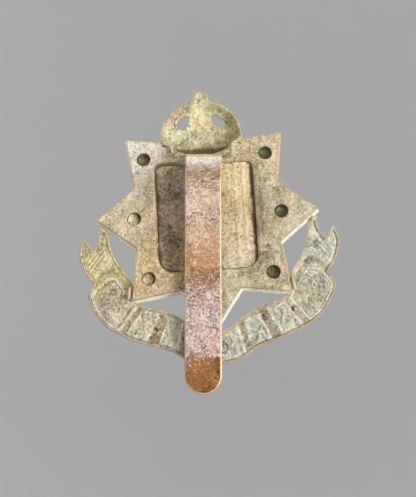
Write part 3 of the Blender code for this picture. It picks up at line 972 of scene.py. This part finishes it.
def make_crown():
    """The crown: a deep hollow behind, and arches, pearls, a jewelled band and an orb on its face."""
    outer = fine(section("crown", CROWN_CUT_Y)[0], step=0.18, seed=51)
    hollow = fine(section("crown", CROWN_BACK_Y)[1], smoothing=5, wander=0)
    holes = section("crown", CROWN_FACE_Y)[1:]
    softened = {"step": 0.15, "smoothing": 3, "wander": 0.05}
    openings = [fine(hole, **softened, seed=52 + i) for i, hole in enumerate(holes)]
    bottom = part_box("crown")[0].z / MM
    centre_x = (hollow[:, 0].min() + hollow[:, 0].max()) / 2
    half_width = (hollow[:, 0].max() - hollow[:, 0].min()) / 2
    top_z = hollow[:, 1].max()

    def bowl_depth(spot):
        """How far inside the rounded hollow a place lies, from 0 at its lip."""
        above = spot.z > HOLLOW_CENTRE_Z
        rise = np.where(above, top_z - HOLLOW_CENTRE_Z, HOLLOW_CENTRE_Z - HOLLOW_BOTTOM_Z)
        share = np.hypot((spot.x - centre_x) / half_width, (spot.z - HOLLOW_CENTRE_Z) / rise)
        return np.clip(1 - share, 0, 1) * half_width

    def shell(spot):
        """How far the dome has risen above its rim, from 0 to 1."""
        return 1 - np.exp(-((np.clip(spot.rims[0], 0, None) / 1.6) ** 1.2))

    def rear(spot):
        inside = bowl_depth(spot)
        bowl = HOLLOW_DEPTH * (1 - np.exp(-((inside / 1.0) ** 1.2)))
        rim = lip(spot.rims[0], 0.2) * smooth(WAIST_Z - 0.3, WAIST_Z + 0.3, spot.z)
        raised = 0.08 * bump(np.min(spot.rims[1:], axis=0), 0.18, 0.2)
        spread = np.abs(spot.x - centre_x) - 0.13 * (spot.z - 10)
        seams = 0.14 * bump(spread, 1.5, 0.3) * smooth(13.5, 15.5, spot.z)
        lumps = 0.13 * spot.rough(1.6, 55) + 0.05 * spot.rough(0.6, 56)
        finial = smooth(FINIAL_Z - 0.4, FINIAL_Z + 0.2, spot.z)
        cup = 0.3 + 0.25 * smooth(0.3, 0.7, spot.rims[0])
        height = -bowl - rim + (raised + seams + lumps) * smooth(0.2, 0.8, inside)
        return np.minimum(height * (1 - finial) - (cup + rim) * finial, 0)

    def face(spot):
        band = smooth(CROWN_BAND_TOP + 0.05, CROWN_BAND_TOP - 0.05, spot.z)
        finial = smooth(FINIAL_Z - 0.2, FINIAL_Z + 0.1, spot.z)
        x = spot.x - centre_x
        arch_middle = bump(x, 0, 0.55) ** 0.5 * smooth(0.75, 0.55, np.abs(x))
        arch_side = smooth(0.12, 0.3, spot.rims[0]) * smooth(1.5, 1.3, spot.rims[0])
        arches = np.maximum(arch_middle, arch_side) * (1 - band)
        turn = np.arctan2(spot.z - ARCH_CENTRE_Z, x)
        pearl_side = np.maximum(0, np.cos(turn * ARCH_PEARLS)) * bump(spot.rims[0], 0.8, 0.26)
        pearl_middle = np.maximum(0, np.cos(spot.z * 2 * math.pi / PEARL_STEP)) * bump(x, 0, 0.26)
        pearls = np.maximum(pearl_side, pearl_middle) * (1 - band) * (1 - finial)
        folds = 0.05 * np.cos(x * 5.2) * (1 - band)
        dome = 1.45 + 0.85 * shell(spot) + 0.3 * arches + 0.2 * pearls + folds
        jewel_step = np.abs((x + 0.9) % 1.8 - 0.9)
        middle = (spot.z - (bottom + CROWN_BAND_TOP) / 2) / 0.55
        jewels = smooth(1.0, 0.5, np.hypot(jewel_step / 0.55, middle))
        borders = bump(np.abs(middle), 1.75, 0.35)
        base = 2.2 + 0.3 * shell(spot) + 0.28 * jewels + 0.18 * borders
        ball = np.sqrt(np.clip(1 - (spot.away(centre_x, ORB_Z) / ORB_RADIUS) ** 2, 0, 1))
        orb = 1.0 + 0.9 * ball + 0.12 * np.maximum(bump(x, 0, 0.14), bump(spot.z, ORB_Z, 0.14))
        height = np.where(band > 0.5, base, dome)
        height = height * (1 - finial) + np.maximum(orb, 1.3) * finial
        return -np.clip(height, 0.9, 2.88)

    def paint(spot, at_rear):
        edge = spot.rims[0]
        opening = np.min(spot.rims[1:], axis=0)
        if at_rear:
            inside = bowl_depth(spot)
            tone = toned(spot, "crown", CROWN_TONES) * (1 + 0.15 * spot.rough(1.8, 58))[:, None]
            shelf = smooth(WAIST_Z + 0.8, WAIST_Z - 0.2, spot.z) * smooth(0.6, 0.1, inside)
            tone = blended(tone, toned(spot, "star_plate", STAR_TONES), shelf)
            low_down = smooth(WAIST_Z, WAIST_Z - 1.4, spot.z)
            # Painted shade at the foot of the hollow, whose wall faces up, away from the key light.
            grime = 0.85 * low_down * smooth(0.1, 0.5, inside) * smooth(6, 4, np.abs(spot.x))
            grime += stain_and_painted_shadow(spot) * smooth(WAIST_Z + 1, WAIST_Z, spot.z)
            # Painted shade on the hollow's inner wall on the -x side, which faces away from the key
            # light.
            grime += 0.3 * bump(inside, 0.9, 0.5) * smooth(0, -3, spot.x) * smooth(17, 15, spot.z)
            grime += 0.45 * smooth(FINIAL_Z, FINIAL_Z + 0.5, spot.z) * smooth(0.3, 0.6, edge)
            grime += 0.4 * bump(opening, 0.3, 0.25)
            above = smooth(WAIST_Z, WAIST_Z + 0.5, spot.z)
            wear = 0.7 * bump(edge, 0.12, 0.12) * above + 0.3 * bump(opening, 0.1, 0.12)
            aside = np.abs(spot.x - centre_x)
            # Painted highlight: a lighter band along the hollow's lip on both sides.
            wear += 0.45 * bump(inside, 0.15, 0.2) * smooth(3.5, 5.0, aside) * smooth(14, 12, spot.z)
            bloom = 0.5 + 0.4 * spot.rough(2.0, 57)
        else:
            tone = toned(spot, "crown", CROWN_FACE_TONES)
            height = face(spot)
            grime = 0.7 * smooth(-2.35, -1.9, height) * smooth(0.2, 0.6, edge)
            wear = 0.8 * smooth(-2.5, -2.85, height) + 0.4 * bump(edge, 0.1, 0.15)
            bloom = np.full(len(edge), 0.1)
        return {"tone": tone, "grime": np.clip(grime, 0, 1), "wear": wear, "bloom": bloom}

    material = patina("crown_metal", CROWN_FINISH)
    rings = (0.07, 0.15, 0.24, 0.34, 0.46)
    loops = [outer, *openings]
    relief("crown_relief", "crown", loops, 0.18, rings, rear, face, paint, material)


# Scroll


SCROLL_TONES = (
    (0.72, -0.35, 0.2, "dccbab"),
    (0.5, -0.6, 0.14, "d8ccae"),
    (0.33, -0.72, 0.1, "d8d2b8"),
    (0.22, -0.78, 0.09, "a59e80"),
    (0.86, 0.3, 0.16, "ffe89c"),
    (0.95, 0.65, 0.12, "e4d0a4"),
    (-0.86, 0.3, 0.16, "dedcc4"),
    (-0.95, 0.65, 0.12, "dce0c8"),
    (-0.75, -0.3, 0.2, "ded4b4"),
    (-0.5, -0.6, 0.14, "d0ccae"),
    (-0.3, -0.75, 0.14, "c8c8b0"),
    (0.78, -0.02, 0.1, "b09070"),
    (-0.78, -0.02, 0.1, "b8a080"),
    (-0.72, -0.42, 0.06, "b08c60"),
)
SCROLL_FACE_TONES = ((0.0, -0.6, 0.8, "ceb67e"), (0.8, 0.2, 0.4, "d8c28c"), (-0.8, 0.2, 0.4, "c8ac74"))
PANEL_FRAME_TONE = "f4eedc"
VALLEY_TONE = "b08c60"
BLOCK_DEG = 6.6
RIB_STEP = 0.75
# Angles from straight down: the ribbon's folds, and the raised pads between them
SCROLL_FOLDS_DEG = (25.5, 39.2)
PADS_DEG = ((28.2, 37.4), (14.8, 23.8), (2.0, 12.0))
# The line where a tail leaves its end panel: up from the outer notch, level, then down beside the star
FOLD_OUTER = (19.6, -11.2)
FOLD_SLOPE = 0.87
FOLD_TOP_Z = -8.95
FOLD_INNER_X = 15.7
FOLD_INNER_SLOPE = 1.5
FOLD_LOW_Z = -12.0


def ribbon(spot):
    """Where each place lies on the ribbon.

    Returns how far out on a tail it is, negative on the rest of the ribbon, its angle from straight
    down, its radius, and how far past each fold it is.
    """
    side_x = np.abs(spot.x)
    angle = np.degrees(np.arctan2(side_x, -spot.z))
    radius = np.hypot(spot.x, spot.z)
    folds = [np.radians(angle - fold) * radius for fold in SCROLL_FOLDS_DEG]
    slant = FOLD_OUTER[1] + FOLD_SLOPE * (FOLD_OUTER[0] - side_x)
    inner = np.maximum(FOLD_TOP_Z - FOLD_INNER_SLOPE * (FOLD_INNER_X - side_x), FOLD_LOW_Z)
    tail_line = 0.8 * (spot.z - np.minimum(np.minimum(slant, FOLD_TOP_Z), inner))
    return tail_line, angle, radius, folds


def blocks(spot, angle, radius, middle):
    """Raised lozenges and pellets in a row along the ribbon, in place of any lettering."""
    phase = (angle / BLOCK_DEG + 0.12 * spot.rough(1.5, 76)) % 1 - 0.5
    along = np.radians(phase * BLOCK_DEG) * radius
    across = radius - middle
    lozenge = smooth(1.15, 0.85, np.abs(along) / 0.9 + np.abs(across) / 1.25)
    pellet = smooth(0.5, 0.3, np.hypot(np.abs(along) - 1.2, np.abs(across) - 0.8))
    return np.maximum(lozenge, pellet)


def pad_inset(spot, angle, radius):
    """How far inside its raised pad each place on the ribbon lies, negative between the pads."""
    insets = [np.radians(np.minimum(angle - low, high - angle)) * radius for low, high in PADS_DEG]
    ragged = 0.15 * spot.rough(0.9, 77)
    return np.minimum(np.max(insets, axis=0), spot.rims[0] - 0.5) + ragged


def ribbon_middle(angle):
    """The radius of the ribbon's middle line, which draws in towards its ends."""
    return 21.9 - 1.4 * smooth(8, 30, angle)


def make_scroll():
    """The scroll: a folded ribbon with raised pads and blocks, and ribbed swallow tails."""
    outer = fine(section("scroll", SCROLL_CUT_Y)[0], step=0.18, smoothing=2, seed=71)

    def parts(spot):
        """What ribbon gives, with whether a place is on a tail and its distance from its panel's edge."""
        tail_line, angle, radius, folds = ribbon(spot)
        on_tail = smooth(-0.06, 0.06, tail_line)
        panel_edge = np.minimum(spot.rims[0], np.abs(tail_line))
        for fold in folds:
            panel_edge = np.minimum(panel_edge, np.abs(fold))
        return tail_line, angle, radius, folds, on_tail, panel_edge

    def outer_side(spot, radius):
        """1 where the nearest edge is the ribbon's outer one, 0 where it is the inner one."""
        facing = (spot.out[:, 0] * spot.x + spot.out[:, 1] * spot.z) / radius
        return smooth(-0.1, 0.4, facing)

    def end_panel(folds, on_tail):
        """1 on the panel between the last fold and the tail."""
        return smooth(-0.1, 0.1, folds[1]) * (1 - on_tail)

    def ribs(spot, tail_line):
        """Slanting ribs across the middle of a tail, from -1 to 1."""
        ribbed = smooth(1.6, 2.4, tail_line) * smooth(5.6, 4.8, tail_line)
        ribbed *= smooth(0.7, 1.1, spot.rims[0])
        slanted = tail_line + 0.3 * (np.abs(spot.x) - 18)
        return np.cos(slanted * 2 * math.pi / RIB_STEP) * ribbed

    def raised_blocks(spot, angle, radius, on_tail, panel_edge):
        raised = blocks(spot, angle, radius, ribbon_middle(angle))
        return raised * smooth(0.8, 1.0, panel_edge) * (1 - on_tail)

    def rear(spot):
        tail_line, angle, radius, folds, on_tail, panel_edge = parts(spot)
        level = -0.92 + 0.07 * smooth(-0.3, 0.3, folds[0]) - 0.05 * smooth(-0.3, 0.3, folds[1])
        level = level * (1 - on_tail) - 1.02 * on_tail
        outside = outer_side(spot, radius)
        edge = spot.rims[0]
        rim = 0.15 * (1 - smooth(0.26, 0.36, edge)) - 0.14 * bump(edge, 0.5, 0.12) * outside
        ended = end_panel(folds, on_tail)
        border = 0.2 * (bump(panel_edge, 0.55, 0.16) - 0.6 * bump(panel_edge, 0.9, 0.16)) * ended
        inset = pad_inset(spot, angle, radius)
        pads = 0.14 * smooth(-0.1, 0.2, inset) + 0.1 * bump(inset, 0.22, 0.18)
        pads *= (1 - on_tail) * (1 - ended)
        sunk = raised_blocks(spot, angle, radius, on_tail, panel_edge)
        lumps = 0.1 * spot.rough(1.1, 72) + 0.06 * spot.rough(0.5, 73)
        lumps *= smooth(0.4, 0.8, edge)
        ribbing = 0.14 * ribs(spot, tail_line) * on_tail
        height = level + rim + border + pads - 0.22 * sunk + lumps + ribbing
        return np.minimum(height, -0.64) - lip(edge, 0.12)

    def face(spot):
        tail_line, angle, radius, folds, on_tail, panel_edge = parts(spot)
        level = 1.6 - 0.1 * smooth(-0.2, 0.2, folds[0]) + 0.1 * smooth(-0.2, 0.2, folds[1])
        level = level * (1 - on_tail) + 1.42 * on_tail
        rim = 0.2 * bump(spot.rims[0], 0.3, 0.22)
        bars = sum(0.1 * bump(fold, 0, 0.2) for fold in folds) * (1 - on_tail)
        raised = raised_blocks(spot, angle, radius, on_tail, panel_edge)
        height = level + rim + bars + 0.22 * raised + 0.08 * ribs(spot, tail_line) * on_tail
        height += 0.015 * spot.rough(0.5, 74)
        return -np.clip(height, 1.2, 1.98)

    def paint(spot, at_rear):
        tail_line, angle, radius, folds, on_tail, panel_edge = parts(spot)
        edge = spot.rims[0]
        raised = raised_blocks(spot, angle, radius, on_tail, panel_edge)
        if at_rear:
            tone = toned(spot, "scroll", SCROLL_TONES)
            outside = outer_side(spot, radius)
            ended = end_panel(folds, on_tail)
            inset = pad_inset(spot, angle, radius)
            crust = bump(inset, 0.2, 0.2) * (1 - ended) * (1 - on_tail)
            framed = np.maximum(0.8 * bump(panel_edge, 0.55, 0.16) * ended, 0.6 * crust)
            valley = 0.65 * smooth(0.1, -0.3, inset) * smooth(0.35, 0.6, edge)
            valley *= (1 - ended) * (1 - on_tail)
            valley = np.maximum(valley, 0.6 * bump(tail_line, 0.55, 0.5))
            tone = blended(tone, linear(PANEL_FRAME_TONE), framed)
            tone = blended(tone, linear(VALLEY_TONE), valley)
            wear = 0.9 * bump(edge, 0.12, 0.13) * outside + 0.62 * bump(edge, 0.3, 0.3) * (1 - outside)
            grime = 0.8 * bump(edge, 0.42, 0.1) * outside + 0.5 * bump(panel_edge, 0.85, 0.14) * ended
            # Painted shadow beside the first fold's ridge.
            grime += 0.35 * bump(folds[0], 0.3, 0.3) * (1 - on_tail) + 0.3 * raised
            ribbing = ribs(spot, tail_line)
            grime += 0.3 * bump(tail_line, 0.1, 0.12) + 0.5 * smooth(0, -1, ribbing) * on_tail
            wear += 0.45 * smooth(0.3, 1, ribbing) * on_tail
            bloom = 0.45 + 0.5 * framed - 0.4 * valley + 0.35 * spot.rough(1.5, 75)
        else:
            tone = toned(spot, "scroll", SCROLL_FACE_TONES)
            wear = 0.8 * bump(edge, 0.25, 0.2) + 0.4 * raised
            grime = 0.5 * bump(edge, 0.75, 0.2) + 0.3 * (1 - raised) * smooth(0.6, 0.9, edge)
            grime += 0.5 * bump(tail_line, 0.2, 0.25)
            bloom = np.full(len(edge), 0.1)
        return {"tone": tone, "grime": np.clip(grime, 0, 1), "wear": wear, "bloom": np.clip(bloom, 0, 1)}

    material = patina("scroll_metal", SCROLL_FINISH)
    rings = (0.07, 0.15, 0.24, 0.33, 0.43, 0.54)
    relief("scroll_relief", "scroll", [outer], 0.17, rings, rear, face, paint, material)


# Slider


# Colours and bloom down the slider, each at a share of its length. The pale tones at the top are partly
# the braze and the strip's own colour and partly painted light that lifts the crank, which faces up, away
# from the key light, out of its shade.
SLIDER_TONES = (
    (0.00, "f0e8d8"),
    (0.02, "ece0cc"),
    (0.05, "dcc4a4"),
    (0.075, "b8925c"),
    (0.12, "d4aa80"),
    (0.2, "e6c8a8"),
    (0.33, "e0b890"),
    (0.46, "d8a474"),
    (0.53, "c08a60"),
    (0.62, "b88870"),
    (0.75, "bc8c74"),
    (0.84, "b47a4c"),
    (0.93, "a87038"),
    (1.0, "b07c44"),
)
SLIDER_BLOOM = (
    (0.0, 0.6),
    (0.05, 0.3),
    (0.12, 0.25),
    (0.25, 0.35),
    (0.4, 0.1),
    (0.5, 0.05),
    (0.6, 0.45),
    (0.72, 0.62),
    (0.84, 0.5),
    (0.88, -0.1),
    (1.0, -0.4),
)


FAR_BEHIND = 0.05
STATIONS = 120


def cad_heights(node, points, from_rear):
    """Where a line along Y through each point first meets a CAD node, in millimetres."""
    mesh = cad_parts[node].data
    tree = BVHTree.FromPolygons([v.co for v in mesh.vertices], [p.vertices for p in mesh.polygons])
    side = 1 if from_rear else -1
    way = Vector((0, -side, 0))
    starts = [Vector((x * MM, side * FAR_BEHIND, z * MM)) for x, z in points]
    return np.array([tree.ray_cast(start, way)[0].y / MM for start in starts])


def soft(heights):
    """A line of heights with its corners rounded and its ends kept."""
    for _ in range(6):
        inner = (heights[:-2] + 2 * heights[1:-1] + heights[2:]) / 4
        heights = np.concatenate([heights[:1], inner, heights[-1:]])
    return heights


def make_slider():
    """The strip, whose heights are read off the CAD node at stations down its middle line."""
    vertices = np.array([(v.co.x, v.co.z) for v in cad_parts["slider"].data.vertices]) / MM
    hull = vertices[geometry.convex_hull_2d([Vector(v) for v in vertices])]
    sides = np.roll(hull, -1, axis=0) - hull
    long_side = np.argmax(np.linalg.norm(sides, axis=1))
    along = sides[long_side] / np.linalg.norm(sides[long_side])
    along = along if along[1] < 0 else -along
    across = np.array((-along[1], along[0]))
    reach = hull @ along
    start, total = reach.min(), reach.max() - reach.min()
    middle = ((hull @ across).min() + (hull @ across).max()) / 2
    stations = np.linspace(0.15, total - 0.15, STATIONS)
    line = along * (start + stations)[:, None] + across * middle
    outer = fine(hull, smoothing=2, step=0.16, seed=91)
    rear_line = soft(cad_heights("slider", line, True))
    face_line = soft(cad_heights("slider", line, False))

    def down(spot):
        return spot.points @ along - start

    def rear(spot):
        dents = 0.03 * spot.rough(2.2, 92) + 0.012 * spot.rough(0.6, 93)
        return np.interp(down(spot), stations, rear_line) - lip(spot.rims[0], 0.32) + dents - 0.03

    def face(spot):
        return np.interp(down(spot), stations, face_line) + lip(spot.rims[0], 0.25) + 0.01

    def paint(spot, at_rear):
        share = down(spot) / total + 0.012 * spot.rough(1.5, 94)
        marks = [mark for mark, _ in SLIDER_TONES]
        colours = np.array([linear(code) for _, code in SLIDER_TONES])
        tone = np.column_stack([np.interp(share, marks, colours[:, i]) for i in range(3)])
        wear = bump(spot.rims[0], 0.12, 0.14)
        if at_rear:
            bloom = np.interp(share, *zip(*SLIDER_BLOOM)) + 0.3 * spot.rough(2.0, 95)
            grime = 0.15 * bump(share, 0.065, 0.02) + 0.2 * bump(spot.rims[0], 0.45, 0.2)
        else:
            bloom = np.full(len(share), 0.2)
            grime = np.full(len(share), 0.3)
        return {"tone": tone, "grime": grime, "wear": wear, "bloom": bloom}

    material = patina("slider_metal", SLIDER_FINISH)
    rings = (0.06, 0.13, 0.21, 0.3, 0.4)
    relief("slider_strip", "slider", [outer], 0.2, rings, rear, face, paint, material)


# Brazing


BRAZE_TONE = "e0d4a8"
BRAZE_EDGE = 0.14
BRAZE_SWELL = 0.06
BRAZE_LUMP = 0.05
BRAZE_LUMP_SIZE = 0.5


def make_braze(node, material):
    """The CAD bead, swollen and run down into a lumpy fillet."""
    bm = joined(node)
    for _ in range(4):
        long_edges = [e for e in bm.edges if e.calc_length() > BRAZE_EDGE * MM]
        bmesh.ops.subdivide_edges(bm, edges=long_edges, cuts=1)
        bmesh.ops.triangulate(bm, faces=bm.faces)
    every_way = {"use_axis_x": True, "use_axis_y": True, "use_axis_z": True}
    for _ in range(5):
        bmesh.ops.smooth_vert(bm, verts=bm.verts, factor=0.5, **every_way)
    bm.normal_update()
    for vert in bm.verts:
        lump = noise.fractal(vert.co / (BRAZE_LUMP_SIZE * MM), 1.0, 2.0, 3)
        vert.co += vert.normal * (BRAZE_SWELL + BRAZE_LUMP * lump) * MM
    mesh = bpy.data.meshes.new(f"{node}_bead")
    bm.to_mesh(mesh)
    bm.free()
    count = len(mesh.vertices)
    plain = np.zeros(count)
    looks = {"grime": plain + 0.1, "wear": plain + 0.2, "bloom": plain + 0.5, "calm": plain}
    add_looks(mesh, {"tone": np.tile(linear(BRAZE_TONE), (count, 1)), **looks})
    mesh.shade_smooth()
    stand_in(f"{node}_bead", node, mesh, material)


# Studio


def make_camera():
    """The camera, behind the badge and a little below it, at the photograph's angle."""
    tilt = math.radians(CAMERA_TILT_DEG)
    back = Vector((0, math.cos(tilt), -math.sin(tilt)))
    camera_data = bpy.data.cameras.new("camera")
    camera_data.sensor_width = SENSOR
    camera_data.lens = SENSOR / 2 * CAMERA_DISTANCE / (VIEW_HEIGHT / 2)
    camera_data.clip_start = 0.005
    camera = placed("camera", camera_data)
    camera.location = TARGET + back * CAMERA_DISTANCE
    facing = back.to_track_quat("Z", "Y")
    camera.rotation_mode = "QUATERNION"
    camera.rotation_quaternion = facing @ Quaternion((0, 0, 1), -math.radians(CAMERA_ROLL_DEG))
    bpy.context.scene.camera = camera


def make_bowl():
    """A round floor that sweeps up into a wall all the way round, open to the sky."""
    profile = [(0.0, FLOOR_Z), (BOWL_RADIUS - BOWL_CURVE, FLOOR_Z)]
    for step in range(1, CURVE_STEPS + 1):
        turn = math.pi / 2 * step / CURVE_STEPS
        radius = BOWL_RADIUS - BOWL_CURVE * (1 - math.sin(turn))
        profile.append((radius, FLOOR_Z + BOWL_CURVE * (1 - math.cos(turn))))
    profile.append((BOWL_RADIUS, BOWL_HEIGHT))
    bm = bmesh.new()
    line = [bm.verts.new((radius, 0, z)) for radius, z in profile]
    edges = [bm.edges.new(pair) for pair in zip(line, line[1:])]
    bmesh.ops.spin(bm, geom=line + edges, axis=(0, 0, 1), cent=(0, 0, 0), steps=96, angle=2 * math.pi)
    bmesh.ops.remove_doubles(bm, verts=bm.verts, dist=1e-5)
    mesh = bpy.data.meshes.new("studio_bowl")
    bm.to_mesh(mesh)
    bm.free()
    mesh.shade_smooth()
    material = bpy.data.materials.new("studio_paper")
    material.use_nodes = True
    shader = material.node_tree.nodes["Principled BSDF"]
    shader.inputs["Base Color"].default_value = (PAPER_GREY, PAPER_GREY, PAPER_GREY, 1)
    shader.inputs["Roughness"].default_value = 0.9
    mesh.materials.append(material)
    placed("studio_bowl", mesh)


def add_light(name, direction, away, size, power):
    """A square softbox that faces the badge from a direction."""
    data = bpy.data.lights.new(name, "AREA")
    data.size = size
    data.energy = power
    data.spread = math.radians(LIGHT_SPREAD_DEG)
    light = placed(name, data)
    way = Vector(direction).normalized()
    light.location = way * away
    light.rotation_mode = "QUATERNION"
    light.rotation_quaternion = way.to_track_quat("Z", "Y")
    light.visible_camera = False


def make_studio():
    """The bowl, two lights behind the badge and two in front of it, and an even pale sky."""
    make_bowl()
    add_light("key", (-0.78, 0.62, -0.16), 0.38, 0.1, 0.175)
    add_light("fill", (0.5, 0.8, 0.5), 0.45, 0.3, 0.06)
    add_light("front_key", (0.5, -0.75, 0.55), 0.42, 0.16, 0.14)
    add_light("front_fill", (-0.6, -0.8, 0.1), 0.45, 0.3, 0.045)
    world = bpy.data.worlds.new("studio_sky")
    bpy.context.scene.world = world
    world.use_nodes = True
    sky = world.node_tree.nodes["Background"]
    sky.inputs["Color"].default_value = (1, 1, 1, 1)
    sky.inputs["Strength"].default_value = SKY_STRENGTH
    bpy.context.scene.view_settings.view_transform = "Standard"


def main():
    make_star()
    make_shield()
    stud_material = patina("stud_metal", STUD_FINISH)
    for number in STUDS:
        make_stud(number, stud_material)
    make_crown()
    make_scroll()
    make_slider()
    braze_material = patina("braze_metal", BRAZE_FINISH)
    for node in sorted(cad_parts):
        if "braze" in node:
            make_braze(node, braze_material)
    make_studio()
    make_camera()


main()
